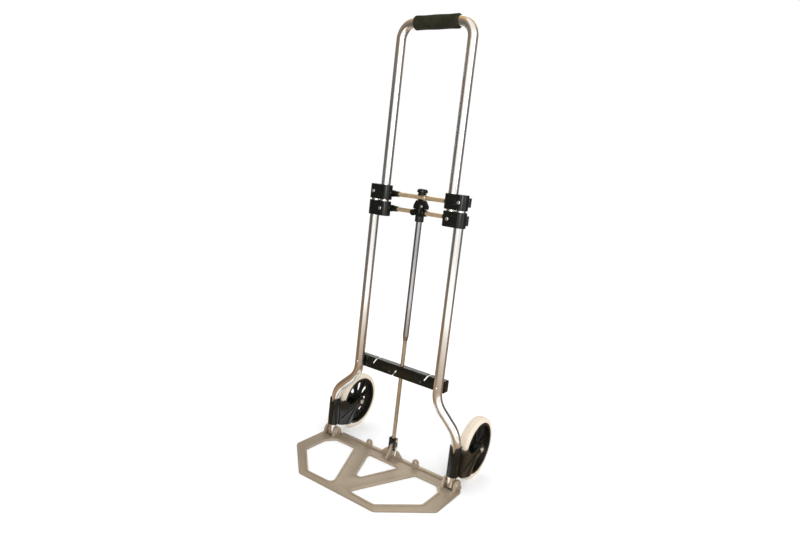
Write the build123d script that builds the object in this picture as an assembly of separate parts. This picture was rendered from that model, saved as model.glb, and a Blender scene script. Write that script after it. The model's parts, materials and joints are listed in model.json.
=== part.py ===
from build123d import *
import math
import os

# Folding hand truck with a cast toe plate, a sliding U handle and swing-in wheels.
# Millimetres. +X is the user's right, the toe plate reaches towards -Y, +Z is up and
# the origin lies on the floor midway between the two toe-plate hinges.

# ---- driving dimensions ----
TUBE_R = 11.5                  # both tube pairs are 23 mm outside
TUBE_WALL = 1.6
SLIDE_GAP = 0.3                # radial gap where a tube slides in a clamp
RUN_GAP = 0.1                  # radial gap of pins and axles
FRAME_X = 119.0                # upper straight run of each frame tube
HINGE_X = 186.0                # lower straight run, above the toe-plate hinge
HINGE_Z = 15.0
BEND_TOP_Z, BEND_LOW_Z, BEND_R = 196.5, 133.0, 60.0
FRAME_TOP_Z = 684.0
HANDLE_X = 94.5                # handle legs stand just inboard of the frame tubes
HANDLE_LOW_Z = 618.0
HANDLE_TOP_Z = 1061.5
HANDLE_BEND_R = 35.0
GRIP_LENGTH, GRIP_R = 119.0, 16.0

CLAMP_MID_X, CLAMP_LENGTH, CLAMP_DEPTH = 105.5, 58.0, 31.0
UPPER_CLAMP_Z, LOWER_CLAMP_Z, CLAMP_HEIGHT = 671.0, 631.5, 35.5
RIVET_R, RIVET_HEAD_R, RIVET_HEAD_HEIGHT = 2.5, 4.2, 2.0

STRUT_Y = 19.5                 # rods, latch and strut lie in one plane behind the tubes
UPPER_ROD_Z, LOWER_ROD_Z, ROD_R = 669.0, 633.0, 5.5
SOCKET_TIP_X = 65.0
COLLAR_R, COLLAR_HALF = 7.2, 11.0
BUTTON_TRAVEL = 4.0
PAWL_X, PAWL_Z, PAWL_PIN_R = 10.2, 648.5, 1.8
PAWL_FRONT_Y, PAWL_THICK = STRUT_Y - 14.0, 2.6
STEM_R, STEM_HOLE_R = 2.2, 2.3
BOSS_X, BOSS_Z = -14.0, 632.0
STRUT_TUBE_R, STRUT_ROD_R = 7.25, 4.9
STRUT_TOP_Z, SWAGE_Z = 652.0, 326.0

BAR_Z, BAR_HEIGHT, BAR_HALF = 233.0, 30.0, 130.5
BAR_FRONT_Y, BAR_BACK_Y, BAR_WALL = 11.6, 28.5, 3.0

PLATE_THICK, PLATE_RIM = 4.5, 1.5
PLATE_HALF, PLATE_FRONT_HALF = 213.0, 110.0
PLATE_FRONT_Y, PLATE_SIDE_Y, PLATE_BACK_Y = -204.0, -107.0, 24.0
EAR_THICK, HINGE_PIN_R = 5.0, 4.0
EAR_GAP = TUBE_R + 1.5         # from a tube's axis to the inner face of each hinge ear
TUBE_END_Z = HINGE_Z - 5.5     # the tube stops short, so that the plate can swing round it
TUBE_SWING_R, EAR_TOP_R = 13.2, 14.5
CORD_EAR_X, CORD_EAR_BACK_Y = 73.0, 21.0
CORD_HOLE_Z, CORD_HOLE_R = 15.5, 3.4
CLEVIS_PIN_Z = HINGE_Z + 14.0
CLEVIS_PIN_R, CLEVIS_EAR_HOLE_R = 3.0, 8.4
CLEVIS_HALF, CLEVIS_SLOT_HALF = 9.2, 4.4
CROSS_BOLT_R, CROSS_BOLT_Z = 2.0, CLEVIS_PIN_Z + 21.0

WHEEL_R, WHEEL_X, WHEEL_Y = 76.0, 189.0, 96.0
TYRE_INNER_R, TYRE_HALF = 64.5, 13.0
SPOKES, SPOKE_TURN = 8, 12.0
AXLE_R, CHEEK_IN, CHEEK_THICK = 5.0, 14.2, 4.0
SLEEVE_R, SLEEVE_LOW_Z, SLEEVE_TOP_Z = 14.6, 36.0, 109.0

SIDES = (("left", -1), ("right", 1))


def cyl_x(radius, x_from, x_to, y, z):
    """Cylinder along X."""
    shape = Rot(0, 90, 0) * Cylinder(radius, abs(x_to - x_from))
    return Pos((x_from + x_to) / 2, y, z) * shape


def cyl_y(radius, y_from, y_to, x, z):
    """Cylinder along Y."""
    shape = Rot(90, 0, 0) * Cylinder(radius, abs(y_to - y_from))
    return Pos(x, (y_from + y_to) / 2, z) * shape


def cyl_z(radius, z_from, z_to, x, y):
    """Cylinder along Z."""
    return Pos(x, y, (z_from + z_to) / 2) * Cylinder(radius, abs(z_to - z_from))


def block(x_from, x_to, y_from, y_to, z_from, z_to):
    """Box between two corners."""
    centre = Pos((x_from + x_to) / 2, (y_from + y_to) / 2, (z_from + z_to) / 2)
    return centre * Box(abs(x_to - x_from), abs(y_to - y_from), abs(z_to - z_from))


def tube_along(path, radius, wall):
    """Round tube swept along a path of lines and tangent arcs."""
    section = Plane(path @ 0, z_dir=path % 0)
    outer = sweep(section * Circle(radius), path=path)
    inner = sweep(section * Circle(radius - wall), path=path)
    return outer - inner


def mirrored(shape, side):
    """The right-hand shape, or its mirror image for the left."""
    return shape if side > 0 else mirror(shape, about=Plane.YZ)


def rounded(polygon_points, radius):
    """Flat outline with every corner rounded."""
    face = make_face(Polyline(*polygon_points, close=True))
    return fillet(face.vertices(), radius)


def rivet_head(x, y_face, z, outward):
    """Low domed head standing on a face that looks along Y (outward is -1 or 1)."""
    head = cyl_y(RIVET_HEAD_R, y_face, y_face + outward * RIVET_HEAD_HEIGHT, x, z)
    rim = head.edges().group_by(Axis.Y)[0 if outward < 0 else -1]
    return fillet(rim, RIVET_HEAD_HEIGHT - 0.6)


def clamp_rivet(x, z, back_head):
    """Rivet through a clamp; its back end is flush where the rod socket covers it."""
    face = CLAMP_DEPTH / 2
    rivet = cyl_y(RIVET_R, -face, face, x, z) + rivet_head(x, -face, z, -1)
    if back_head:
        rivet += rivet_head(x, face, z, 1)
    return rivet


# ---- frame ----
def frame_tube(side):
    """Side tube: straight, then out through an S bend, then down to its hinge."""
    path = FilletPolyline((FRAME_X, 0, FRAME_TOP_Z), (FRAME_X, 0, BEND_TOP_Z),
                          (HINGE_X, 0, BEND_LOW_Z), (HINGE_X, 0, TUBE_END_Z), radius=BEND_R)
    tube = tube_along(path, TUBE_R, TUBE_WALL)
    tube -= cyl_x(HINGE_PIN_R + RUN_GAP, HINGE_X - 20, HINGE_X + 20, 0, HINGE_Z)
    tube -= cyl_y(RIVET_R, -20, 20, FRAME_X, UPPER_CLAMP_Z)
    tube -= cyl_y(RIVET_R, -20, 20, FRAME_X, BAR_Z)
    return mirrored(tube, side)


def tube_plug(side):
    """Plastic plug that closes the lower tube end and carries the hinge pin."""
    plug = cyl_z(TUBE_R - TUBE_WALL, TUBE_END_Z - 1.5, HINGE_Z + 14, HINGE_X, 0)
    plug -= cyl_x(HINGE_PIN_R + RUN_GAP, HINGE_X - 20, HINGE_X + 20, 0, HINGE_Z)
    return mirrored(plug, side)


def crossbar():
    """Channel-shaped stay across the back of the frame with three slanting notches."""
    low, high = BAR_Z - BAR_HEIGHT / 2, BAR_Z + BAR_HEIGHT / 2
    bar = block(-BAR_HALF, BAR_HALF, BAR_FRONT_Y, BAR_BACK_Y, low, high)
    bar = fillet(bar.edges().filter_by(Axis.Y), 3.0)
    hollow_half = FRAME_X - TUBE_R - 10
    bar -= block(-hollow_half, hollow_half, BAR_FRONT_Y + BAR_WALL, BAR_BACK_Y + 1,
                 low + BAR_WALL, high - BAR_WALL)
    bar -= cyl_z(STRUT_TUBE_R + 0.6, low - 1, high + 1, 0, STRUT_Y)
    for x, reach in ((-78, 1), (-18, -1), (77, 1)):
        z = BAR_Z + reach * 9
        bar -= Pos(x, BAR_FRONT_Y, z) * Rot(0, 33, 0) * Box(3.4, 3 * BAR_HEIGHT, 24)
    for x in (-97, -33, 61):
        bar -= cyl_y(2.0, 0, BAR_FRONT_Y + BAR_WALL + 1, x, BAR_Z - 7)
    for side in (-1, 1):
        bar -= cyl_z(TUBE_R + 0.02, low - 1, high + 1, side * FRAME_X, 0)
        bar -= cyl_y(RIVET_R, 0, 40, side * FRAME_X, BAR_Z)
    return bar


def crossbar_rivets():
    """Long rivets that hold the crossbar to both tubes."""
    pair = []
    for _, side in SIDES:
        x = side * FRAME_X
        shank = cyl_y(RIVET_R, -TUBE_R - 0.1, BAR_BACK_Y, x, BAR_Z)
        pair.append(shank + rivet_head(x, -TUBE_R, BAR_Z, -1) + rivet_head(x, BAR_BACK_Y, BAR_Z, 1))
    return Compound(children=pair)


def clamp_body(centre_z, rod_z):
    """Right-hand clamp blank: a slot-shaped block with the rod socket behind it."""
    low = centre_z - CLAMP_HEIGHT / 2
    outline = Pos(CLAMP_MID_X, 0, low) * SlotOverall(CLAMP_LENGTH, CLAMP_DEPTH)
    body = extrude(outline, amount=CLAMP_HEIGHT)
    body = fillet(body.edges().group_by(Axis.Z)[0] + body.edges().group_by(Axis.Z)[-1], 1.6)
    socket_block = block(80, 96, 4, STRUT_Y + 7.5, rod_z - 8, rod_z + 8)
    body += fillet(socket_block.edges().filter_by(Axis.X), 5.0)
    socket = Pos((80 + SOCKET_TIP_X) / 2, STRUT_Y, rod_z) * Rot(0, -90, 0) * Cone(
        7.6, 6.7, 80 - SOCKET_TIP_X)
    body += socket
    body -= cyl_x(ROD_R, SOCKET_TIP_X - 1, 90, STRUT_Y, rod_z)
    return body


def upper_clamp(side):
    """Clamp fixed on the top of a frame tube; the handle leg slides through it."""
    high = UPPER_CLAMP_Z + CLAMP_HEIGHT / 2
    body = clamp_body(UPPER_CLAMP_Z, UPPER_ROD_Z)
    hook = extrude(Pos(CLAMP_MID_X + 24, 11, UPPER_CLAMP_Z - 9) * Circle(7.0), amount=21)
    hook -= extrude(Pos(CLAMP_MID_X + 29, 15.5, UPPER_CLAMP_Z - 10) * Circle(3.2), amount=14)
    body += hook
    body -= cyl_z(TUBE_R, 600, FRAME_TOP_Z, FRAME_X, 0)
    body -= cyl_z(TUBE_R + SLIDE_GAP, 600, high + 1, HANDLE_X, 0)
    body -= cyl_y(RIVET_R, -40, 40, FRAME_X, UPPER_CLAMP_Z)
    return mirrored(body, side)


def upper_clamp_rivets():
    """Rivets through the upper clamps and the frame tubes."""
    return Compound(children=[clamp_rivet(side * FRAME_X, UPPER_CLAMP_Z, True)
                              for _, side in SIDES])


def upper_cross_rod():
    """Rod that joins the two upper clamps, drilled in the middle for the button stem."""
    rod = cyl_x(ROD_R, -90, 90, STRUT_Y, UPPER_ROD_Z)
    return rod - cyl_z(STEM_HOLE_R, UPPER_ROD_Z - 10, UPPER_ROD_Z + 10, 0, STRUT_Y)


def rod_collar():
    """Metal collar on the upper rod, under the release button."""
    collar = cyl_x(COLLAR_R, -COLLAR_HALF, COLLAR_HALF, STRUT_Y, UPPER_ROD_Z)
    collar = chamfer(collar.edges(), 0.8)
    collar -= cyl_x(ROD_R, -COLLAR_HALF - 1, COLLAR_HALF + 1, STRUT_Y, UPPER_ROD_Z)
    return collar - cyl_z(STEM_HOLE_R, UPPER_ROD_Z - 10, UPPER_ROD_Z + 10, 0, STRUT_Y)


def latch_body():
    """Wedge-shaped block under the upper rod that holds the strut top and the pawl."""
    outline = rounded([(-9, 661.7), (9, 661.7), (17, 649), (17, 641.5), (-15, 641.5),
                       (-15, 649)], 1.6)
    body = extrude(Plane.XZ.offset(-(STRUT_Y + 10)) * outline, amount=20)
    body -= cyl_z(STRUT_TUBE_R + SLIDE_GAP, 630, STRUT_TOP_Z + 2, 0, STRUT_Y)
    body += block(-5, 5, STRUT_Y - 8, STRUT_Y + 8, 659, 664)
    body -= cyl_z(STEM_HOLE_R, 640, 680, 0, STRUT_Y)
    body -= cyl_x(COLLAR_R + 0.02, -20, 20, STRUT_Y, UPPER_ROD_Z)
    return body - cyl_y(PAWL_PIN_R, 0, STRUT_Y - 6, PAWL_X, PAWL_Z)


def pawl_rivet():
    """Rivet on which the pawl turns, at the front of the latch body."""
    rivet = cyl_y(PAWL_PIN_R, PAWL_FRONT_Y - 0.2, STRUT_Y - 6, PAWL_X, PAWL_Z)
    head = cyl_y(2 * PAWL_PIN_R, PAWL_FRONT_Y - 2, PAWL_FRONT_Y - 0.2, PAWL_X, PAWL_Z)
    return rivet + fillet(head.edges().group_by(Axis.Y)[0], 1.0)


def latch_pawl():
    """Flat hook on the front of the latch body, with its tip beside the lug of the lower hub."""
    arm = rounded([(5.8, 653.5), (14.6, 653.5), (14.6, 624.5), (3.1, 624.5), (3.1, 629.5),
                   (7.6, 629.5), (7.6, 640)], 1.2)
    pawl = extrude(Plane.XZ.offset(-(PAWL_FRONT_Y + PAWL_THICK)) * arm, amount=PAWL_THICK)
    return pawl - cyl_y(PAWL_PIN_R + RUN_GAP, 0, 30, PAWL_X, PAWL_Z)


def release_button():
    """Domed push button: its skirt straddles the collar, and its stem goes through the rod."""
    cap = cyl_z(13.0, UPPER_ROD_Z + 11.5, UPPER_ROD_Z + 20.5, 0, STRUT_Y)
    cap = fillet(cap.edges().group_by(Axis.Z)[-1], 6.5)
    cap = fillet(cap.edges().group_by(Axis.Z)[0], 1.2)
    skirt = cyl_z(10.2, UPPER_ROD_Z + 5, UPPER_ROD_Z + 13, 0, STRUT_Y)
    for lift in (0, BUTTON_TRAVEL):
        skirt -= cyl_x(COLLAR_R + 0.5, -20, 20, STRUT_Y, UPPER_ROD_Z + lift)
    return cap + skirt + cyl_z(STEM_R, 659, UPPER_ROD_Z + 13, 0, STRUT_Y)


# ---- handle ----
def handle_tube():
    """U-shaped handle tube."""
    path = FilletPolyline((-HANDLE_X, 0, HANDLE_LOW_Z), (-HANDLE_X, 0, HANDLE_TOP_Z),
                          (HANDLE_X, 0, HANDLE_TOP_Z), (HANDLE_X, 0, HANDLE_LOW_Z),
                          radius=HANDLE_BEND_R)
    tube = tube_along(path, TUBE_R, TUBE_WALL)
    for _, side in SIDES:
        tube -= cyl_y(RIVET_R, -20, 20, side * HANDLE_X, LOWER_CLAMP_Z)
    return tube


def grip():
    """Foam sleeve on the top run of the handle."""
    half = GRIP_LENGTH / 2
    sleeve = cyl_x(GRIP_R, -half, half, 0, HANDLE_TOP_Z)
    sleeve = fillet(sleeve.edges(), 3.0)
    return sleeve - cyl_x(TUBE_R, -half - 1, half + 1, 0, HANDLE_TOP_Z)


def lower_slider(side):
    """Slider riveted to the foot of a handle leg; it runs on the frame tube."""
    low, high = LOWER_CLAMP_Z - CLAMP_HEIGHT / 2, LOWER_CLAMP_Z + CLAMP_HEIGHT / 2
    body = clamp_body(LOWER_CLAMP_Z, LOWER_ROD_Z)
    body += extrude(Pos(CLAMP_MID_X + 24, 10, LOWER_CLAMP_Z - 11) * Circle(6.5), amount=22)
    body -= cyl_z(TUBE_R + SLIDE_GAP, low - 1, high + 1, FRAME_X, 0)
    body -= cyl_z(TUBE_R, HANDLE_LOW_Z, high + 1, HANDLE_X, 0)
    body -= cyl_y(RIVET_R, -40, 40, HANDLE_X, LOWER_CLAMP_Z)
    return mirrored(body, side)


def lower_slider_rivets():
    """Rivets through the lower sliders and the handle legs."""
    return Compound(children=[clamp_rivet(side * HANDLE_X, LOWER_CLAMP_Z, False)
                              for _, side in SIDES])


def lower_cross_rod(side):
    """Half of the lower rod, from a slider's socket into the hub."""
    return mirrored(cyl_x(ROD_R, 10.2, 90, STRUT_Y, LOWER_ROD_Z), side)


def lower_hub():
    """Hub on the lower rod: a sleeve for the strut, side bosses and a lug for the pawl."""
    hub = cyl_z(10.6, 611, 640.5, 0, STRUT_Y)
    hub += cyl_x(8.0, -17, 17, STRUT_Y, LOWER_ROD_Z)
    hub += block(-15, 15, STRUT_Y - 7, STRUT_Y + 7, 629, 640.5)
    hub += cyl_y(2.6, STRUT_Y - 14.4, STRUT_Y - 5, 0, LOWER_ROD_Z - 2.4)
    hub += cyl_y(7.6, STRUT_Y - 12, STRUT_Y - 4, BOSS_X, BOSS_Z)
    hub -= cyl_y(3.2, 0, STRUT_Y - 9, BOSS_X, BOSS_Z)
    hub -= cyl_z(STRUT_TUBE_R + SLIDE_GAP, 600, 650, 0, STRUT_Y)
    for side in (-1, 1):
        hub -= cyl_x(ROD_R, side * 10.2, side * 30, STRUT_Y, LOWER_ROD_Z)
    return hub


# ---- strut ----
def strut_tube():
    """Upper part of the strut, swaged down onto the thinner rod."""
    tube = cyl_z(STRUT_TUBE_R, SWAGE_Z, STRUT_TOP_Z, 0, STRUT_Y)
    tube += Pos(0, STRUT_Y, SWAGE_Z - 6) * Cone(STRUT_ROD_R + 0.6, STRUT_TUBE_R, 12)
    return tube - cyl_z(STRUT_ROD_R, SWAGE_Z - 20, STRUT_TOP_Z + 1, 0, STRUT_Y)


def strut_rod():
    """Thin rod from inside the strut tube down to the clevis."""
    rod = cyl_z(STRUT_ROD_R, CLEVIS_PIN_Z + 16, SWAGE_Z + 60, 0, STRUT_Y)
    return rod - cyl_x(CROSS_BOLT_R, -10, 10, STRUT_Y, CROSS_BOLT_Z)


def clevis():
    """Fork on the rod's foot that straddles the centre ear of the toe plate."""
    fork = block(-CLEVIS_HALF, CLEVIS_HALF, STRUT_Y - 7, STRUT_Y + 7,
                 CLEVIS_PIN_Z - 7, CLEVIS_PIN_Z + 27)
    fork = fillet(fork.edges().filter_by(Axis.X), 5.0)
    fork -= block(-CLEVIS_SLOT_HALF, CLEVIS_SLOT_HALF, STRUT_Y - 9, STRUT_Y + 9,
                  CLEVIS_PIN_Z - 9, CLEVIS_PIN_Z + 15.5)
    fork -= cyl_z(STRUT_ROD_R, CLEVIS_PIN_Z + 16, CLEVIS_PIN_Z + 30, 0, STRUT_Y)
    fork -= cyl_x(CLEVIS_PIN_R, -12, 12, STRUT_Y, CLEVIS_PIN_Z)
    return fork - cyl_x(CROSS_BOLT_R, -12, 12, STRUT_Y, CROSS_BOLT_Z)


def headed_pin(radius, head_radius, head_thick, z):
    """Pin along X through the clevis, with a flat head at each end."""
    pin = cyl_x(radius, -CLEVIS_HALF, CLEVIS_HALF, STRUT_Y, z)
    for _, side in SIDES:
        face = side * CLEVIS_HALF
        pin += cyl_x(head_radius, face, face + side * head_thick, STRUT_Y, z)
    return pin


def clevis_pins():
    """Pin through the centre ear, and the cross bolt that holds rod and clevis together."""
    return Compound(children=[headed_pin(CLEVIS_PIN_R, 4.6, 1.8, CLEVIS_PIN_Z),
                              headed_pin(CROSS_BOLT_R, 4.0, 2.6, CROSS_BOLT_Z)])


# ---- toe plate ----
def plate_cutouts():
    """Three rounded windows; the V ribs between them meet at the front edge."""
    side_window = [(22, -184), (98, -186), (176, -110), (176, -40), (157, -14), (95, -14)]
    left_window = [(-x, y) for x, y in side_window]
    middle = [(-49, -14), (49, -14), (7, -119), (-7, -119)]
    return (rounded(side_window, 11.0), rounded(left_window, 11.0), rounded(middle, 6.0))


def hinge_ear(x_from):
    """Upright ear with a rounded top around the hinge axis."""
    outline = make_face(Polyline((-19, 0), (23, 0), (EAR_TOP_R, HINGE_Z), (-EAR_TOP_R, HINGE_Z),
                                 close=True))
    outline += Pos(0, HINGE_Z) * Circle(EAR_TOP_R)
    return extrude(Plane.YZ.offset(x_from) * outline, amount=EAR_THICK)


def cord_ear(x):
    """Small holed ear on the rear rail, for the hook of a luggage cord."""
    outline = make_face(Polyline((-14, 0), (14, 0), (8.3, 13), (-8.3, 13), close=True))
    outline += Pos(0, CORD_HOLE_Z) * Circle(8.5)
    outline -= Pos(0, CORD_HOLE_Z) * Circle(CORD_HOLE_R)
    return Pos(x, 0, 0) * extrude(Plane.XZ.offset(-CORD_EAR_BACK_Y) * outline, amount=EAR_THICK)


def gusset(side):
    """Triangular brace beside the clevis, sloping down to the rear rail."""
    outline = make_face(Polyline((13, 0), (34, 0), (34, 8), (17, 24), (13, 24), close=True))
    brace = extrude(Plane.XZ.offset(-CORD_EAR_BACK_Y) * outline, amount=EAR_THICK)
    return mirrored(brace, side)


def centre_ear():
    """Tall ear between the clevis prongs; its wide hole leaves room for the pin's path."""
    outline = make_face(Polyline((-13, 0), (24, 0), (STRUT_Y + 11, CLEVIS_PIN_Z), (STRUT_Y - 11,
                                 CLEVIS_PIN_Z), close=True))
    outline += Pos(STRUT_Y, CLEVIS_PIN_Z) * Circle(11.6)
    outline -= Pos(STRUT_Y, CLEVIS_PIN_Z) * Circle(CLEVIS_EAR_HOLE_R)
    return extrude(Plane.YZ.offset(-3.5) * outline, amount=7.0)


def toe_plate():
    """Cast plate with a raised rim round its windows, a rear rail and all its ears."""
    outline = [(-PLATE_FRONT_HALF, PLATE_FRONT_Y), (PLATE_FRONT_HALF, PLATE_FRONT_Y),
               (PLATE_HALF, PLATE_SIDE_Y), (PLATE_HALF, 0), (PLATE_HALF - 14, PLATE_BACK_Y),
               (-PLATE_HALF + 14, PLATE_BACK_Y), (-PLATE_HALF, 0), (-PLATE_HALF, PLATE_SIDE_Y)]
    plate = extrude(rounded(outline, 14.0), amount=PLATE_THICK)
    plate = chamfer(plate.edges().group_by(Axis.Z)[-1], 1.0)
    plate += Pos(0, 0, PLATE_THICK) * extrude(rounded(
        [(-165, 14), (165, 14), (165, PLATE_BACK_Y - 1), (-165, PLATE_BACK_Y - 1)], 3.0), amount=4.0)
    for window in plate_cutouts():
        rim = offset(window, 4.5)
        plate += Pos(0, 0, PLATE_THICK) * extrude(rim, amount=PLATE_RIM)
    for window in plate_cutouts():
        plate -= Pos(0, 0, -1) * extrude(window, amount=20)
    for side in (-1, 1):
        axis_x = side * HINGE_X
        plate += hinge_ear(axis_x - EAR_GAP - EAR_THICK) + hinge_ear(axis_x + EAR_GAP)
        plate += cord_ear(side * CORD_EAR_X) + gusset(side)
        plate -= cyl_x(HINGE_PIN_R, axis_x - 30, axis_x + 30, 0, HINGE_Z)
        plate -= cyl_x(TUBE_SWING_R, axis_x - EAR_GAP, axis_x + EAR_GAP, 0, HINGE_Z)
    plate += centre_ear()
    swing_room = block(-12.5, 12.5, 8, PLATE_BACK_Y + 12, CLEVIS_PIN_Z - 22, CLEVIS_PIN_Z - 5)
    return plate - (swing_room - block(-3.5, 3.5, 0, 40, 0, 60))


def hinge_pins():
    """Headed pins on which the toe plate turns."""
    pins = []
    reach = EAR_GAP + EAR_THICK
    for _, side in SIDES:
        mid = side * HINGE_X
        pin = cyl_x(HINGE_PIN_R, mid - reach, mid + reach, 0, HINGE_Z)
        for end in (-1, 1):
            pin += cyl_x(6.4, mid + end * reach, mid + end * (reach + 2.2), 0, HINGE_Z)
        pins.append(pin)
    return Compound(children=pins)


# ---- wheels ----
def wheel_bracket(side):
    """Sleeve that turns on the lower tube, with a fork that carries the wheel's axle."""
    sleeve = cyl_z(SLEEVE_R, SLEEVE_LOW_Z, SLEEVE_TOP_Z, HINGE_X, 0)
    outline = rounded([(6, 34), (26, 27), (56, 20), (66, 34), (73, 52), (104, 64), (108, 76),
                       (104, 88), (88, 90), (60, 79), (44, 82), (28, 97), (6, 97)], 3.0)
    fork = extrude(Plane.YZ.offset(WHEEL_X - CHEEK_IN - CHEEK_THICK) * outline,
                   amount=2 * (CHEEK_IN + CHEEK_THICK))
    well = cyl_x(WHEEL_R + 4, WHEEL_X - CHEEK_IN, WHEEL_X + CHEEK_IN, WHEEL_Y, WHEEL_R)
    body = sleeve + (fork - well)
    for end in (-1, 1):
        start = WHEEL_X + end * CHEEK_IN
        boss_end = WHEEL_X + end * (CHEEK_IN + CHEEK_THICK + 2.5)
        body += cyl_x(11, start, boss_end, WHEEL_Y, WHEEL_R)
        for y, z, slope, span in ((54, 62, 19, 80), (60, 48, 48, 62)):
            rib = Pos(WHEEL_X + end * (CHEEK_IN + CHEEK_THICK + 0.7), y, z) * Rot(slope, 0, 0)
            body += rib * Box(2.4, span, 3.4)
    body -= cyl_z(TUBE_R + 0.25, 0, 200, HINGE_X, 0)
    v_notch = extrude(Plane.XZ.offset(2) * make_face(Polyline(
        (HINGE_X - 6, SLEEVE_TOP_Z + 1), (HINGE_X + 7, SLEEVE_TOP_Z + 1), (HINGE_X + 2, 92),
        close=True)), amount=30)
    body -= v_notch
    body -= cyl_x(AXLE_R, WHEEL_X - 30, WHEEL_X + 30, WHEEL_Y, WHEEL_R)
    return mirrored(body, side)


def axle(side):
    """Axle fixed in the fork, with a rounded head at each end."""
    reach = CHEEK_IN + CHEEK_THICK + 2.5
    shaft = cyl_x(AXLE_R, WHEEL_X - reach, WHEEL_X + reach, WHEEL_Y, WHEEL_R)
    for end in (-1, 1):
        head = cyl_x(6.4, WHEEL_X + end * reach, WHEEL_X + end * (reach + 3.5), WHEEL_Y, WHEEL_R)
        shaft += fillet(head.edges().group_by(Axis.X)[-1 if end > 0 else 0], 2.0)
    return mirrored(shaft, side)


def tyre(side):
    """Solid tyre with rounded shoulders and shallow tread grooves."""
    outline = Pos(0, (WHEEL_R + TYRE_INNER_R) / 2) * Rectangle(2 * TYRE_HALF, WHEEL_R - TYRE_INNER_R)
    outline = fillet(outline.vertices().group_by(Axis.Y)[-1], 6.0)
    ring = revolve(Plane.XY * outline, axis=Axis.X)
    for x in (-3.5, 3.5):
        groove = Rot(0, 90, 0) * (Cylinder(WHEEL_R + 2, 1.4) - Cylinder(WHEEL_R - 0.9, 3))
        ring -= Pos(x, 0, 0) * groove
    return mirrored(Pos(WHEEL_X, WHEEL_Y, WHEEL_R) * ring, side)


def wheel_hub(side):
    """Moulded wheel centre: rim, thin web with slots, spokes and a bored boss."""
    rim = Cylinder(TYRE_INNER_R, 2 * TYRE_HALF - 1) - Cylinder(TYRE_INNER_R - 6, 2 * TYRE_HALF)
    web = Cylinder(TYRE_INNER_R - 5, 4)
    for i in range(SPOKES):
        angle = SPOKE_TURN + i * 360 / SPOKES
        window = extrude(Pos(38, 0, 0) * SlotOverall(24, 13), amount=20, both=True)
        web -= Rot(0, 0, angle + 180 / SPOKES) * window
        web += Rot(0, 0, angle) * Pos(36, 0, 0) * Box(48, 4.5, 11)
    hub = Rot(0, 90, 0) * (rim + web + Cylinder(14, 2 * TYRE_HALF + 1) - Cylinder(AXLE_R + RUN_GAP, 60))
    return mirrored(Pos(WHEEL_X, WHEEL_Y, WHEEL_R) * hub, side)


def save(name, shape):
    """Write one sub-part."""
    export_step(shape, "parts/" + name + ".step")


os.makedirs("parts", exist_ok=True)
SINGLE_PARTS = (crossbar, crossbar_rivets, upper_clamp_rivets, upper_cross_rod, rod_collar,
                latch_body, pawl_rivet, latch_pawl, release_button, handle_tube, grip,
                lower_slider_rivets, lower_hub, strut_tube, strut_rod, clevis, clevis_pins,
                toe_plate, hinge_pins)
SIDED_PARTS = (frame_tube, tube_plug, upper_clamp, lower_slider, lower_cross_rod,
               wheel_bracket, axle, tyre, wheel_hub)
for make in SINGLE_PARTS:
    save(make.__name__, make())
for make in SIDED_PARTS:
    for side_name, side_sign in SIDES:
        save(make.__name__ + "_" + side_name, make(side_sign))
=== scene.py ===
import json
import math

import bmesh
import bpy
from mathutils import Matrix, Vector


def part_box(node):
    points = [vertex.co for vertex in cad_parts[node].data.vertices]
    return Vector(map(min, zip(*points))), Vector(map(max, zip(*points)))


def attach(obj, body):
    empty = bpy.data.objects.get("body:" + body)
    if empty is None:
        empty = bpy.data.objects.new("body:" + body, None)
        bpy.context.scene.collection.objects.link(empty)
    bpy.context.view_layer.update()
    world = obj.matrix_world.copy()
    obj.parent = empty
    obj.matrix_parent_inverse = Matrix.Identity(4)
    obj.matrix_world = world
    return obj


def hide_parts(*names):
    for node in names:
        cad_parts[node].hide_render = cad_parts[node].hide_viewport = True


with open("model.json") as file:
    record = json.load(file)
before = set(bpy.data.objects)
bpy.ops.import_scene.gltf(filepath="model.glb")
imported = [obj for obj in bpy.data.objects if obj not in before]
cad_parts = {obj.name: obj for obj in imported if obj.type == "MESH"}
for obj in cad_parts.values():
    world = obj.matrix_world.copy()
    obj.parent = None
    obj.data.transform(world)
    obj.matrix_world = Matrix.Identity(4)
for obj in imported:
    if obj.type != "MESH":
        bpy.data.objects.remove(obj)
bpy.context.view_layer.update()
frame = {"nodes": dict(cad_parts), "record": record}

bl_info = {
    "name": "Folding Hand Truck",
    "version": (1, 0, 0),
    "blender": (4, 5, 0),
    "location": "View3D > Sidebar > Hand Truck",
    "description": "Builds the looks of a folding hand truck round its packed frame",
    "category": "Object",
}

SIDES = ("left", "right")
TURN = 2 * math.pi

# mesh clean-up, in metres and radians
WELD = 1e-6
FLAT_ANGLE = math.radians(1.0)
BEVEL_CREASE = math.radians(28)
SHARP_CREASE = math.radians(32)

# how draw lines run along a tube and brush lines across a rod
DRAWN_ALONG_Z = (9.0, 9.0, 0.12)
BRUSHED_ALONG_X = (0.2, 6.0, 6.0)

# what the glossy surfaces see round the truck, in metres
SCREEN_TOP = 2.2
SCREEN_RADIUS = 0.76
ROOF_FALL = 0.1
MAT_RADIUS = 1.5
MAT_HOLE = 0.20
MAT_HEIGHT = 0.002
FLOOR_RADIUS = 9.0
FILM_WIDTH = 36.0


def centre_of(node):
    """Middle of a node's box."""
    low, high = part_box(node)
    return (Vector(low) + Vector(high)) / 2


def size_of(node):
    """Lengths of a node's box."""
    low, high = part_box(node)
    return Vector(high) - Vector(low)


# ---- settings ----
def colour(name, description, default):
    """One colour setting."""
    return bpy.props.FloatVectorProperty(name=name, description=description, default=default,
                                         subtype="COLOR", size=3, min=0, max=1)


def length(name, description, default):
    """One length setting, in metres."""
    return bpy.props.FloatProperty(name=name, description=description, default=default,
                                   unit="LENGTH", subtype="DISTANCE", precision=5)


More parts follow.
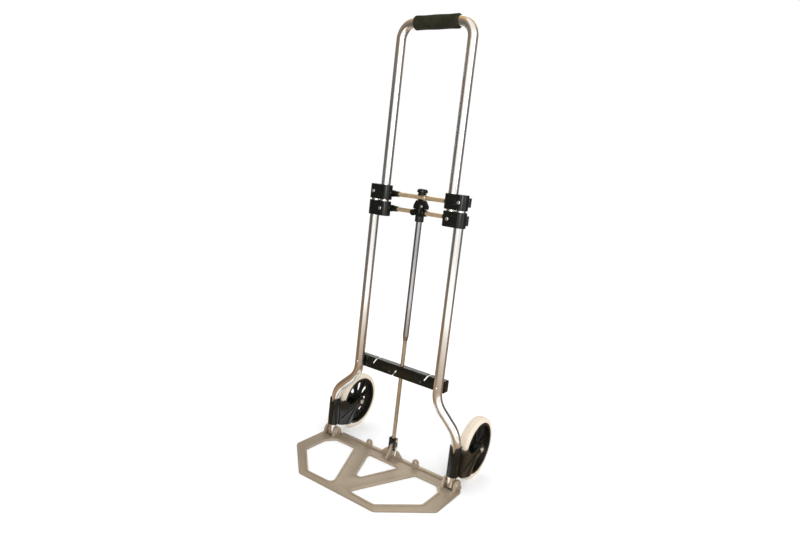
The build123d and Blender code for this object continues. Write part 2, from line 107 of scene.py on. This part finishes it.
class TruckSizes(bpy.types.PropertyGroup):
    """Sizes that a user may change."""
    plastic_edge: length("Plastic edge", "Rounding of the moulded parts' edges", 0.0009)
    casting_edge: length("Casting edge", "Rounding of the toe plate's edges", 0.0012)
    tread_groove: length("Tread groove", "Depth of the grooves round the tyres", 0.0011)
    foam_swell: length("Foam swell", "How far the grip swells between its ends", 0.0006)
    pore_size: length("Pore size", "Width of the foam's open cells", 0.0011)


class TruckColours(bpy.types.PropertyGroup):
    """Colours that a user may change."""
    tube: colour("Tube", "Polished tube", (0.86, 0.85, 0.83))
    casting: colour("Casting", "Cast toe plate", (0.45, 0.365, 0.265))
    steel: colour("Steel", "Cross rods and strut rod", (0.76, 0.60, 0.39))
    strut: colour("Strut", "Strut tube", (0.42, 0.42, 0.43))
    bright: colour("Bright steel", "Rivets, axles and pins", (0.86, 0.84, 0.80))
    plastic: colour("Plastic", "Moulded parts", (0.0038, 0.0046, 0.0026))
    dust: colour("Dust", "Dust on the moulded parts", (0.026, 0.026, 0.018))
    foam: colour("Foam", "Grip", (0.0150, 0.0150, 0.0055))
    tyre: colour("Tyre", "Solid tyres", (0.76, 0.655, 0.53))
    floor: colour("Floor", "Studio floor and backdrop", (0.96, 0.96, 0.96))
    # glow colours of the screen and the mat, which paint the reflections in the glossy surfaces
    room_low: colour("Low screen", "What the tubes reflect near the floor", (0.26, 0.165, 0.095))
    room_mid: colour("Middle screen", "What the tubes reflect half way up", (0.115, 0.115, 0.12))
    room_high: colour("High screen", "What the tubes reflect near the grip", (0.27, 0.205, 0.145))
    room_roof: colour("Roof", "What the tubes reflect from above", (0.78, 0.54, 0.25))
    mat: colour("Mat", "What the low tubes reflect in front", (0.40, 0.28, 0.185))


class TruckStage(bpy.types.PropertyGroup):
    """The view and the light."""
    azimuth: bpy.props.FloatProperty(name="Azimuth", description="View angle to the right of the front",
                                     default=math.radians(33.67), subtype="ANGLE", unit="ROTATION")
    elevation: bpy.props.FloatProperty(name="Elevation", description="View angle above level",
                                       default=math.radians(9.61), subtype="ANGLE", unit="ROTATION")
    roll: bpy.props.FloatProperty(name="Roll", description="Lean of the view",
                                  default=math.radians(6.43), subtype="ANGLE", unit="ROTATION")
    distance: length("Distance", "From the camera to the plane of the tubes", 1.407)
    aim_x: length("Aim X", "Where the view's axis crosses the plane of the tubes", -0.027)
    aim_z: length("Aim Z", "Height at which the view's axis crosses that plane", 0.498)
    lens: bpy.props.FloatProperty(name="Lens", description="Focal length on a 36 mm film",
                                  default=26.11, subtype="DISTANCE_CAMERA")
    light: bpy.props.FloatProperty(name="Light", description="Strength of the lamps", default=1.0,
                                   min=0.0)
    left_gap: bpy.props.FloatProperty(
        name="Left gap", description="The dark screen's opening to the left of the camera",
        default=math.radians(42), subtype="ANGLE", unit="ROTATION")
    back_gap: bpy.props.FloatProperty(
        name="Back gap", description="Half the dark screen's opening behind the truck",
        default=math.radians(22), subtype="ANGLE", unit="ROTATION")
    right_gap: bpy.props.FloatProperty(
        name="Right gap", description="The dark screen's opening to the right of the camera",
        default=math.radians(70), subtype="ANGLE", unit="ROTATION")


# ---- shader maths ----
class Value:
    """A shader socket in an expression; each operator adds its Math node."""

    def __init__(self, finish, socket):
        self.finish = finish
        self.socket = socket

    def _math(self, operation, first, second):
        """The result of one Math node."""
        node = self.finish.node("ShaderNodeMath", {"operation": operation}, {0: first, 1: second})
        return Value(self.finish, node.outputs[0])

    def __add__(self, other):
        return self._math("ADD", self, other)

    def __sub__(self, other):
        return self._math("SUBTRACT", self, other)

    def __rsub__(self, other):
        return self._math("SUBTRACT", other, self)

    def __mul__(self, other):
        return self._math("MULTIPLY", self, other)

    __radd__ = __add__
    __rmul__ = __mul__


class Finish:
    """A material being made: its nodes, patterns on object coordinates, and its shader."""

    def __init__(self, name):
        self.material = bpy.data.materials.new(name)
        self.material.use_nodes = True
        self.tree = self.material.node_tree
        self.shader = self.tree.nodes["Principled BSDF"]
        coords = self.node("ShaderNodeTexCoord", {}, {})
        self.place = Value(self, coords.outputs["Object"])

    def node(self, kind, settings, inputs):
        """Adds a node: settings first, then values or links of its sockets."""
        node = self.tree.nodes.new(kind)
        stops = settings.pop("stops", None)
        for key, setting in settings.items():
            setattr(node, key, setting)
        if stops:
            ramp = node.color_ramp
            while len(ramp.elements) < len(stops):
                ramp.elements.new(0.5)
            for element, (position, shade) in zip(ramp.elements, stops):
                element.position = position
                element.color = (shade, shade, shade, 1)
        for key, given in inputs.items():
            if isinstance(given, Value):
                self.tree.links.new(given.socket, node.inputs[key])
            else:
                node.inputs[key].default_value = given
        return node

    def scaled(self, scale):
        """Object coordinates stretched along each axis."""
        node = self.node("ShaderNodeMapping", {}, {"Vector": self.place, "Scale": scale})
        return Value(self, node.outputs[0])

    def part(self, axis):
        """One of the object coordinates."""
        node = self.node("ShaderNodeSeparateXYZ", {}, {"Vector": self.place})
        return Value(self, node.outputs[axis])

    def distance(self):
        """Distance from the origin of the object coordinates."""
        node = self.node("ShaderNodeVectorMath", {"operation": "LENGTH"}, {0: self.place})
        return Value(self, node.outputs["Value"])

    def glow(self, shade):
        """Makes the surface a plain light of that colour."""
        self.set("Base Color", (0.0, 0.0, 0.0))
        self.set("Specular IOR Level", 0.0)
        self.set("Emission Color", shade)
        self.set("Emission Strength", 1.0)

    def noise(self, size, detail=3.0, roughness=0.5, stretch=(1, 1, 1)):
        """Cloudy pattern, 0 to 1, whose blobs are about size across."""
        node = self.node("ShaderNodeTexNoise", {}, {
            "Vector": self.scaled(stretch), "Scale": 1.0 / size, "Detail": detail,
            "Roughness": roughness})
        return Value(self, node.outputs["Fac"])

    def cells(self, size):
        """Distance to the nearest of scattered points about size apart."""
        node = self.node("ShaderNodeTexVoronoi", {"feature": "F1"}, {
            "Vector": self.place, "Scale": 1.0 / size})
        return Value(self, node.outputs["Distance"])

    def ramp(self, value, low, high):
        """0 below low, 1 above high."""
        node = self.node("ShaderNodeValToRGB", {"stops": ((low, 0.0), (high, 1.0))}, {"Fac": value})
        return Value(self, node.outputs["Color"])

    def blend(self, mask, first, second):
        """Mix of two colours, or of a colour and an earlier mix."""
        inputs = {0: mask}
        for slot, given in ((6, first), (7, second)):
            inputs[slot] = given if isinstance(given, Value) else (*given, 1)
        node = self.node("ShaderNodeMix", {"data_type": "RGBA"}, inputs)
        return Value(self, node.outputs[2])

    def bump(self, height, distance, strength=1.0):
        """Bumps of that height in metres, fed to the shader's normal."""
        node = self.node("ShaderNodeBump", {}, {"Height": height, "Distance": distance,
                                                "Strength": strength})
        self.set("Normal", Value(self, node.outputs[0]))

    def set(self, name, given):
        """Sets or links one socket of the shader."""
        socket = self.shader.inputs[name]
        if isinstance(given, Value):
            self.tree.links.new(given.socket, socket)
        elif socket.type == "RGBA":
            socket.default_value = (*given, 1)
        else:
            socket.default_value = given


def tint(shade, factor):
    """A colour made lighter or darker."""
    return tuple(min(1.0, part * factor) for part in shade)


def polished_tube(name, shade):
    """Bright drawn tube: faint lengthwise draw lines, finger smears and small scuffs."""
    finish = Finish(name)
    lines = finish.noise(0.004, 4.0, 0.6, DRAWN_ALONG_Z)
    smears = finish.noise(0.055, 3.0, 0.55)
    scuffs = finish.ramp(finish.noise(0.006, 5.0, 0.7), 0.66, 0.72)
    warm = finish.blend(finish.ramp(smears, 0.38, 0.68), shade,
                        (shade[0], shade[1] * 0.95, shade[2] * 0.88))
    finish.set("Base Color", finish.blend(scuffs * 0.3, warm, tint(shade, 0.62)))
    finish.set("Metallic", 1.0)
    finish.set("Roughness", 0.075 + smears * 0.07 + lines * 0.05 + scuffs * 0.10)
    finish.bump(lines, 0.00005, 0.5)
    return finish.material


def cast_alloy(name, shade):
    """Satin casting: sand grain, cloudy tone, darker low down, dirt in its pits, and a rubbed front
    edge.
    """
    darkening_height = 0.012
    rub_start = 0.155
    finish = Finish(name)
    grain = finish.noise(0.0011, 4.0, 0.65)
    clouds = finish.noise(0.05, 3.0, 0.55)
    pits = finish.ramp(finish.noise(0.0035, 4.0, 0.7), 0.60, 0.70)
    # the lowest 12 mm of the casting turn darker towards the bottom
    low = finish.ramp(finish.part("Z"), 0.0, darkening_height)
    toned = finish.blend(finish.ramp(clouds, 0.30, 0.72), tint(shade, 0.92), tint(shade, 1.10))
    ragged = finish.noise(0.012, 4.0, 0.65) * 0.05
    rubbed = finish.ramp(finish.part("Y") * -1 - rub_start + ragged, 0.02, 0.06)
    edge_worn = finish.blend(rubbed * 0.3, toned, tint(shade, 1.35))
    # the darker bottom laid over the rubbed front edge
    worn = finish.blend(low, tint(shade, 0.72), edge_worn)
    finish.set("Base Color", finish.blend(pits * 0.35, worn, tint(shade, 0.60)))
    finish.set("Metallic", 0.45)
    finish.set("Roughness", 0.42 + clouds * 0.12 + pits * 0.14)
    finish.bump(grain + pits * -0.6, 0.00020, 0.5)
    return finish.material


def plated_steel(name, shade, metallic=1.0, roughness=0.16):
    """Semi-bright plated steel with fine scratches and a few dull spots."""
    finish = Finish(name)
    brush = finish.noise(0.0022, 4.0, 0.6, BRUSHED_ALONG_X)
    spots = finish.noise(0.011, 4.0, 0.6)
    finish.set("Base Color", finish.blend(finish.ramp(spots, 0.42, 0.70), shade, tint(shade, 0.80)))
    finish.set("Metallic", metallic)
    finish.set("Roughness", roughness + spots * 0.16 + brush * 0.08)
    finish.bump(brush, 0.00005, 0.5)
    return finish.material


def moulded_plastic(name, shade, dust_shade, gloss):
    """Dark moulded plastic with a spark-eroded grain, dull rubs and a little dust."""
    finish = Finish(name)
    grain = finish.cells(0.0009)
    rubs = finish.noise(0.018, 4.0, 0.6)
    dust = finish.ramp(finish.noise(0.007, 5.0, 0.7), 0.52, 0.78)
    finish.set("Base Color", finish.blend(dust * 0.5, shade, dust_shade))
    finish.set("Roughness", gloss + rubs * 0.16 + dust * 0.10)
    finish.set("Specular IOR Level", 0.42)
    finish.bump(grain, 0.00008, 0.2)
    return finish.material


def grip_foam(name, shade, pore):
    """Closed-cell foam: soft pores of two sizes, worn slightly paler where hands rub."""
    finish = Finish(name)
    pores = finish.ramp(finish.cells(pore), 0.12, 0.62)
    fine = finish.noise(pore * 0.45, 3.0, 0.6)
    wear = finish.noise(0.03, 3.0, 0.5)
    base = finish.blend(finish.ramp(wear, 0.40, 0.72), shade, tint(shade, 2.0))
    finish.set("Base Color", finish.blend(1 - pores, base, tint(shade, 0.45)))
    finish.set("Roughness", 0.86 - wear * 0.12)
    finish.set("Specular IOR Level", 0.25)
    finish.bump(pores + fine * 0.5, 0.00035, 0.7)
    return finish.material


def tyre_rubber(name, shade):
    """Cream solid rubber with grey road dirt in blotches and fine scuffs."""
    road_dirt = (0.50, 0.43, 0.35)
    scuffed = (0.36, 0.31, 0.26)
    finish = Finish(name)
    blotches = finish.noise(0.022, 4.0, 0.6)
    scuffs = finish.ramp(finish.noise(0.004, 5.0, 0.7), 0.60, 0.76)
    dirt = finish.blend(finish.ramp(blotches, 0.45, 0.78) * 0.4, shade, road_dirt)
    finish.set("Base Color", finish.blend(scuffs * 0.3, dirt, scuffed))
    finish.set("Roughness", 0.52 + blotches * 0.2)
    finish.bump(finish.noise(0.0016, 4.0, 0.6), 0.00025, 0.5)
    return finish.material


def make_finishes(colours, sizes):
    """Every finish of the truck, by name."""
    dark, dust, steel = tuple(colours.plastic), tuple(colours.dust), tuple(colours.steel)
    return {
        "tube": polished_tube("polished_tube", tuple(colours.tube)),
        "casting": cast_alloy("cast_alloy", tuple(colours.casting)),
        "steel": plated_steel("plated_steel", steel, 0.70, 0.15),
        "strut_rod": plated_steel("strut_steel", tint(steel, 0.62), 0.75, 0.24),
        "strut_tube": polished_tube("strut_tube", tuple(colours.strut)),
        "bright": plated_steel("bright_rivet", tuple(colours.bright)),
        "plastic": moulded_plastic("black_moulding", dark, dust, 0.13),
        "hub": moulded_plastic("wheel_moulding", tint(dark, 0.8), tint(dust, 0.7), 0.30),
        "foam": grip_foam("grip_foam", tuple(colours.foam), sizes.pore_size),
        "tyre": tyre_rubber("cream_tyre", tuple(colours.tyre)),
    }


FINISHES = {}


# ---- mesh helpers ----
def finished(name, bm, finish):
    """Turns a bmesh into a piece with smooth faces, sharp creases and its finish."""
    for face in bm.faces:
        face.smooth = True
    for edge in bm.edges:
        edge.smooth = not (edge.is_manifold and edge.calc_face_angle(0.0) > SHARP_CREASE)
    mesh = bpy.data.meshes.new(name)
    bm.to_mesh(mesh)
    bm.free()
    piece = bpy.data.objects.new(name, mesh)
    bpy.context.collection.objects.link(piece)
    mesh.materials.append(FINISHES[finish])
    return piece


def place(piece, body, slot, *nodes):
    """Rides a piece on its body and hides the nodes that it stands for; the slot is not used."""
    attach(piece, body)
    if nodes:
        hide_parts(*nodes)
    return piece


def body_of_node(node):
    """The body that a node rides on."""
    for body, nodes in frame["record"]["behaviour"]["bodies"].items():
        if node in nodes:
            return body
    raise ValueError("no body holds " + node)


def slot_of_node(node):
    """The material slot that a node takes its finish from."""
    for entry in frame["record"]["subparts"]:
        if entry["node"] == node:
            return entry["material_slot"]
    raise ValueError("no slot for " + node)


def softened(node, finish, width, segments=2):
    """A copy of a node with its sharp edges rounded, which then stands for it."""
    bm = bmesh.new()
    bm.from_mesh(frame["nodes"][node].data)
    bmesh.ops.remove_doubles(bm, verts=bm.verts, dist=WELD)
    bmesh.ops.dissolve_limit(bm, angle_limit=FLAT_ANGLE, verts=bm.verts, edges=bm.edges)
    edges = [e for e in bm.edges if e.is_manifold and e.calc_face_angle(0.0) > BEVEL_CREASE]
    bmesh.ops.bevel(bm, geom=edges, offset=width, offset_type="OFFSET", segments=segments,
                    profile=0.5, affect="EDGES", material=-1, clamp_overlap=True)
    bmesh.ops.remove_doubles(bm, verts=bm.verts, dist=WELD)
    piece = finished(node + "_moulding", bm, finish)
    return place(piece, body_of_node(node), slot_of_node(node), node)


def turned(name, profile, finish, centre, steps=96):
    """A closed profile of (along, radius) corners spun round the X axis through centre."""
    bm = bmesh.new()
    corners = [bm.verts.new((along, radius, 0)) for along, radius in profile]
    edges = [bm.edges.new((corners[i], corners[(i + 1) % len(corners)])) for i in range(len(corners))]
    bmesh.ops.spin(bm, geom=corners + edges, cent=(0, 0, 0), axis=(1, 0, 0), angle=TURN,
                   steps=steps, use_merge=True)
    bmesh.ops.remove_doubles(bm, verts=bm.verts, dist=WELD)
    bmesh.ops.recalc_face_normals(bm, faces=bm.faces)
    bmesh.ops.transform(bm, matrix=Matrix.Translation(centre), verts=bm.verts)
    return finished(name, bm, finish)


def arc_profile(centre, radius, start, end, steps):
    """Points of an arc in the profile plane, in degrees."""
    points = []
    for i in range(steps + 1):
        angle = math.radians(start + (end - start) * i / steps)
        points.append((centre[0] + radius * math.cos(angle), centre[1] + radius * math.sin(angle)))
    return points


# ---- operators ----
class TruckOperator(bpy.types.Operator):
    """Base of the operators: gives them the settings."""
    bl_options = {"REGISTER", "UNDO"}

    @property
    def sizes(self):
        """The size settings."""
        return bpy.context.scene.truck_sizes


class TRUCK_OT_finishes(TruckOperator):
    """Make every finish and give the frame's own pieces theirs"""
    bl_idname = "truck.finishes"
    bl_label = "Finishes"

    node_finishes = {"tube_metal": "tube", "cast_alloy": "casting", "steel": "steel",
                     "black_plastic": "plastic", "grip_foam": "foam", "tyre": "tyre"}

    def execute(self, context):
        FINISHES.update(make_finishes(context.scene.truck_colours, self.sizes))
        for node, piece in frame["nodes"].items():
            finish = self.node_finishes[slot_of_node(node)]
            if "rivet" in node or node.startswith(("axle", "hinge_pins")):
                finish = "bright"
            elif node.startswith("strut_"):
                finish = node
            piece.data.materials.clear()
            piece.data.materials.append(FINISHES[finish])
        return {"FINISHED"}


class TRUCK_OT_mouldings(TruckOperator):
    """Round the edges of the moulded parts"""
    bl_idname = "truck.mouldings"
    bl_label = "Mouldings"

    def execute(self, context):
        edge = self.sizes.plastic_edge
        for side in SIDES:
            for part in ("upper_clamp", "lower_slider", "wheel_bracket"):
                softened(part + "_" + side, "plastic", edge)
            softened("wheel_hub_" + side, "hub", edge * 0.7)
        for node in ("crossbar", "latch_body", "lower_hub", "clevis", "release_button"):
            softened(node, "plastic", edge * 0.8)
        return {"FINISHED"}


class TRUCK_OT_toe_plate(TruckOperator):
    """Round the casting's edges"""
    bl_idname = "truck.toe_plate"
    bl_label = "Toe plate"

    def execute(self, context):
        softened("toe_plate", "casting", self.sizes.casting_edge, 3)
        return {"FINISHED"}


class TRUCK_OT_tyres(TruckOperator):
    """Turn the solid tyres with their crown, grooves and bead rings"""
    bl_idname = "truck.tyres"
    bl_label = "Tyres"

    wall = 0.0116
    bead_lip = 0.0006
    bead_ring = 0.0012
    bead_top = 0.0038
    shoulder = 0.0060
    crown = 0.0004
    groove_x = 0.0038
    groove_top = 0.0012
    groove_foot = 0.0007

    def execute(self, context):
        groove = self.sizes.tread_groove
        for side in SIDES:
            node = "tyre_" + side
            centre, size = centre_of(node), size_of(node)
            half, radius = size.x / 2, size.z / 2
            inner = radius - self.wall
            bend = (half - self.shoulder, radius - self.shoulder - self.crown)
            profile = [(half - self.bead_lip, inner), (half, inner + self.bead_ring),
                       (half, inner + self.bead_top)]
            profile += arc_profile(bend, self.shoulder, 5, 82, 7)
            for x in (self.groove_x, -self.groove_x):
                profile += [(x + self.groove_top, radius), (x + self.groove_foot, radius - groove),
                            (x - self.groove_foot, radius - groove), (x - self.groove_top, radius)]
            profile += arc_profile((-bend[0], bend[1]), self.shoulder, 98, 175, 7)
            profile += [(-half, inner + self.bead_top), (-half, inner + self.bead_ring),
                        (-half + self.bead_lip, inner)]
            tyre = turned("solid_" + node, profile, "tyre", centre)
            place(tyre, body_of_node(node), "tyre", node)
        return {"FINISHED"}


class TRUCK_OT_grip(TruckOperator):
    """Turn the foam grip, a little swollen between its rounded ends"""
    bl_idname = "truck.grip"
    bl_label = "Foam grip"

    stations = 48
    crowding = 1.35
    foam = 0.0045
    end_length = 0.005
    end_depth = 0.0042
    end_power = 2.4
    end_slope = 0.0015
    waves = 7.5

    def execute(self, context):
        centre, size = centre_of("grip"), size_of("grip")
        half, radius = size.x / 2, size.z / 2
        bore = radius - self.foam
        profile = []
        for i in range(self.stations + 1):
            share = -1 + 2 * i / self.stations
            along = half * math.copysign(1 - (1 - abs(share)) ** self.crowding, share)
            into_end = max(0.0, (abs(along) - half + self.end_length) / self.end_length)
            swell = self.sizes.foam_swell * (math.cos(share * self.waves) - 1) / 2
            profile.append((along, radius - self.end_depth * into_end ** self.end_power + swell))
        profile += [(half - self.end_slope, bore), (-half + self.end_slope, bore)]
        grip = turned("foam_grip", profile, "foam", centre, steps=72)
        place(grip, "handle", "grip_foam", "grip")
        return {"FINISHED"}


def aim(holder, position, target, roll=0.0):
    """Places a lamp or camera and turns it to a target."""
    turn = (Vector(target) - Vector(position)).to_track_quat("-Z", "Y").to_matrix().to_4x4()
    holder.matrix_world = Matrix.Translation(position) @ turn @ Matrix.Rotation(roll, 4, "Z")


class TRUCK_OT_stage(TruckOperator):
    """Set up the floor, the lamps and the camera"""
    bl_idname = "truck.stage"
    bl_label = "Stage"

    screen_profile = ((0.60, 0.006), (0.72, 0.10), (SCREEN_RADIUS, 0.6),
                      (SCREEN_RADIUS, SCREEN_TOP - ROOF_FALL), (0.66, SCREEN_TOP),
                      (0.0, SCREEN_TOP + ROOF_FALL / 2))
    mat_profile = ((MAT_HOLE, MAT_HEIGHT), (MAT_RADIUS, MAT_HEIGHT))
    lamp_table = (("key_lamp", (1.45, -2.15, 1.35), (0.75, 1.9), 27.0, (0.93, 0.965, 1.0)),
                  ("side_lamp", (2.3, -0.2, 1.5), (0.35, 1.8), 8.0, (0.80, 0.90, 1.0)),
                  ("back_lamp", (-0.9, 2.3, 2.1), (1.4, 0.9), 10.0, (1.0, 0.98, 0.95)))
    lamp_target = (0, 0, 0.5)
    # glow colours of the painted reflections: pale clouds on the screen and the pale rim of the mat
    screen_cloud = (0.34, 0.30, 0.26)
    mat_rim = (0.92, 0.91, 0.89)

    def execute(self, context):
        stage = context.scene.truck_stage
        context.scene.view_settings.view_transform = "Standard"
        self.floor(context)
        self.screen(context, stage)
        self.mat(context)
        self.lamps(context, stage.light)
        self.camera(context, stage)
        return {"FINISHED"}

    def floor(self, context):
        """A pale round floor that glows a little."""
        finish = Finish("studio_floor")
        clouds = finish.noise(0.5, 2.0)
        shade = tuple(context.scene.truck_colours.floor)
        finish.set("Base Color", finish.blend(clouds, shade, tint(shade, 0.985)))
        finish.set("Roughness", 0.85)
        finish.set("Specular IOR Level", 0.1)
        finish.set("Emission Color", (1.0, 1.0, 1.0))
        finish.set("Emission Strength", 0.05)
        bm = bmesh.new()
        bmesh.ops.create_circle(bm, cap_ends=True, segments=96, radius=FLOOR_RADIUS)
        self.stage_piece(context, "studio_floor", bm, finish)

    def screen(self, context, stage):
        """A glowing dark warm sheet round the back and sides, shaped as a wall and roof, which only
        glossy surfaces see: a painted reflection in the tubes and mouldings.
        """
        colours = context.scene.truck_colours
        finish = Finish("reflected_room")
        height = finish.part("Z") * (1 / SCREEN_TOP)
        room = finish.blend(finish.ramp(height, 0.06, 0.20), tuple(colours.room_low),
                            tuple(colours.room_mid))
        room = finish.blend(finish.ramp(height, 0.42, 0.58), room, tuple(colours.room_high))
        room = finish.blend(finish.ramp(height, 0.66, 0.90), room, tuple(colours.room_roof))
        # painted reflection: pale clouds glowing on the dark screen
        clouds = finish.ramp(finish.noise(0.22, 2.0), 0.35, 0.70)
        finish.glow(finish.blend(clouds * 0.35, room, self.screen_cloud))
        front = stage.azimuth - math.pi / 2
        for name, start, end in (
                ("screen_right", front + stage.right_gap, front + math.pi - stage.back_gap),
                ("screen_left", front + math.pi + stage.back_gap, front + TURN - stage.left_gap)):
            self.reflector(context, name, finish, self.screen_profile, start, end - start)

    def mat(self, context):
        """A glowing brown disc that fades outwards to pale: a painted reflection in the low tubes, which
        only glossy surfaces see.
        """
        finish = Finish("reflected_mat")
        reach = finish.ramp(finish.distance() * (1 / MAT_RADIUS), 0.30, 0.95)
        clouds = finish.noise(0.2, 2.0)
        mat = tuple(context.scene.truck_colours.mat)
        inner = finish.blend(clouds, tint(mat, 0.75), tint(mat, 1.25))
        # painted reflection: the disc glows brown inside and pale at its rim
        finish.glow(finish.blend(reach, inner, self.mat_rim))
        self.reflector(context, "reflected_mat", finish, self.mat_profile, 0, TURN)

    def reflector(self, context, name, finish, profile, start, sweep):
        """A profile of (radius, height) corners swept round into a glowing sheet which only glossy
        surfaces see, to paint reflections.
        """
        bm = bmesh.new()
        corners = [bm.verts.new((radius, 0, z)) for radius, z in profile]
        edges = [bm.edges.new(pair) for pair in zip(corners, corners[1:])]
        bmesh.ops.rotate(bm, verts=corners, cent=(0, 0, 0), matrix=Matrix.Rotation(start, 3, "Z"))
        bmesh.ops.spin(bm, geom=corners + edges, cent=(0, 0, 0), axis=(0, 0, 1), angle=sweep, steps=60)
        screen = self.stage_piece(context, name, bm, finish)
        screen.visible_camera = screen.visible_diffuse = screen.visible_shadow = False
        screen.visible_transmission = screen.visible_volume_scatter = False

    def stage_piece(self, context, name, bm, finish):
        """A piece of the set, which is no part of the truck."""
        mesh = bpy.data.meshes.new(name)
        bm.to_mesh(mesh)
        bm.free()
        piece = bpy.data.objects.new(name, mesh)
        mesh.materials.append(finish.material)
        context.collection.objects.link(piece)
        return piece

    def lamps(self, context, strength):
        """The white surroundings and the lamps."""
        world = bpy.data.worlds.new("studio")
        world.use_nodes = True
        background = world.node_tree.nodes["Background"]
        background.inputs["Color"].default_value = (1.0, 1.0, 1.0, 1)
        background.inputs["Strength"].default_value = 1.0
        context.scene.world = world
        for name, position, size, power, shade in self.lamp_table:
            lamp = bpy.data.lights.new(name, "AREA")
            lamp.shape = "RECTANGLE"
            lamp.size, lamp.size_y = size
            lamp.energy = power * strength
            lamp.color = shade
            holder = bpy.data.objects.new(name, lamp)
            context.collection.objects.link(holder)
            aim(holder, position, self.lamp_target)

    def camera(self, context, stage):
        """The camera, aimed at a point in the plane of the tubes."""
        camera = bpy.data.cameras.new("camera")
        camera.lens = stage.lens
        camera.sensor_width = FILM_WIDTH
        holder = bpy.data.objects.new("camera", camera)
        context.collection.objects.link(holder)
        target = Vector((stage.aim_x, 0, stage.aim_z))
        back = Vector((math.sin(stage.azimuth) * math.cos(stage.elevation),
                       -math.cos(stage.azimuth) * math.cos(stage.elevation),
                       math.sin(stage.elevation)))
        aim(holder, target + back * stage.distance, target, stage.roll)
        context.scene.camera = holder


class TRUCK_PT_panel(bpy.types.Panel):
    """The truck's operators"""
    bl_idname = "TRUCK_PT_panel"
    bl_label = "Hand Truck"
    bl_space_type = "VIEW_3D"
    bl_region_type = "UI"
    bl_category = "Hand Truck"

    def draw(self, context):
        for operator in BUILD_ORDER:
            self.layout.operator(operator.bl_idname)
        for group in (context.scene.truck_sizes, context.scene.truck_colours,
                      context.scene.truck_stage):
            box = self.layout.box()
            for name in group.__annotations__:
                box.prop(group, name)


BUILD_ORDER = (TRUCK_OT_finishes, TRUCK_OT_stage, TRUCK_OT_toe_plate, TRUCK_OT_mouldings,
               TRUCK_OT_tyres, TRUCK_OT_grip)
CLASSES = (TruckSizes, TruckColours, TruckStage, *BUILD_ORDER, TRUCK_PT_panel)


def register():
    """Registers the classes and the scene's settings."""
    for item in CLASSES:
        bpy.utils.register_class(item)
    bpy.types.Scene.truck_sizes = bpy.props.PointerProperty(type=TruckSizes)
    bpy.types.Scene.truck_colours = bpy.props.PointerProperty(type=TruckColours)
    bpy.types.Scene.truck_stage = bpy.props.PointerProperty(type=TruckStage)


def unregister():
    """Removes them again."""
    for name in ("truck_stage", "truck_colours", "truck_sizes"):
        delattr(bpy.types.Scene, name)
    for item in reversed(CLASSES):
        bpy.utils.unregister_class(item)


def main():
    """Registers the classes and builds the looks."""
    register()
    for operator in BUILD_ORDER:
        group, name = operator.bl_idname.split(".")
        getattr(getattr(bpy.ops, group), name)()


if __name__ == "__main__":
    main()
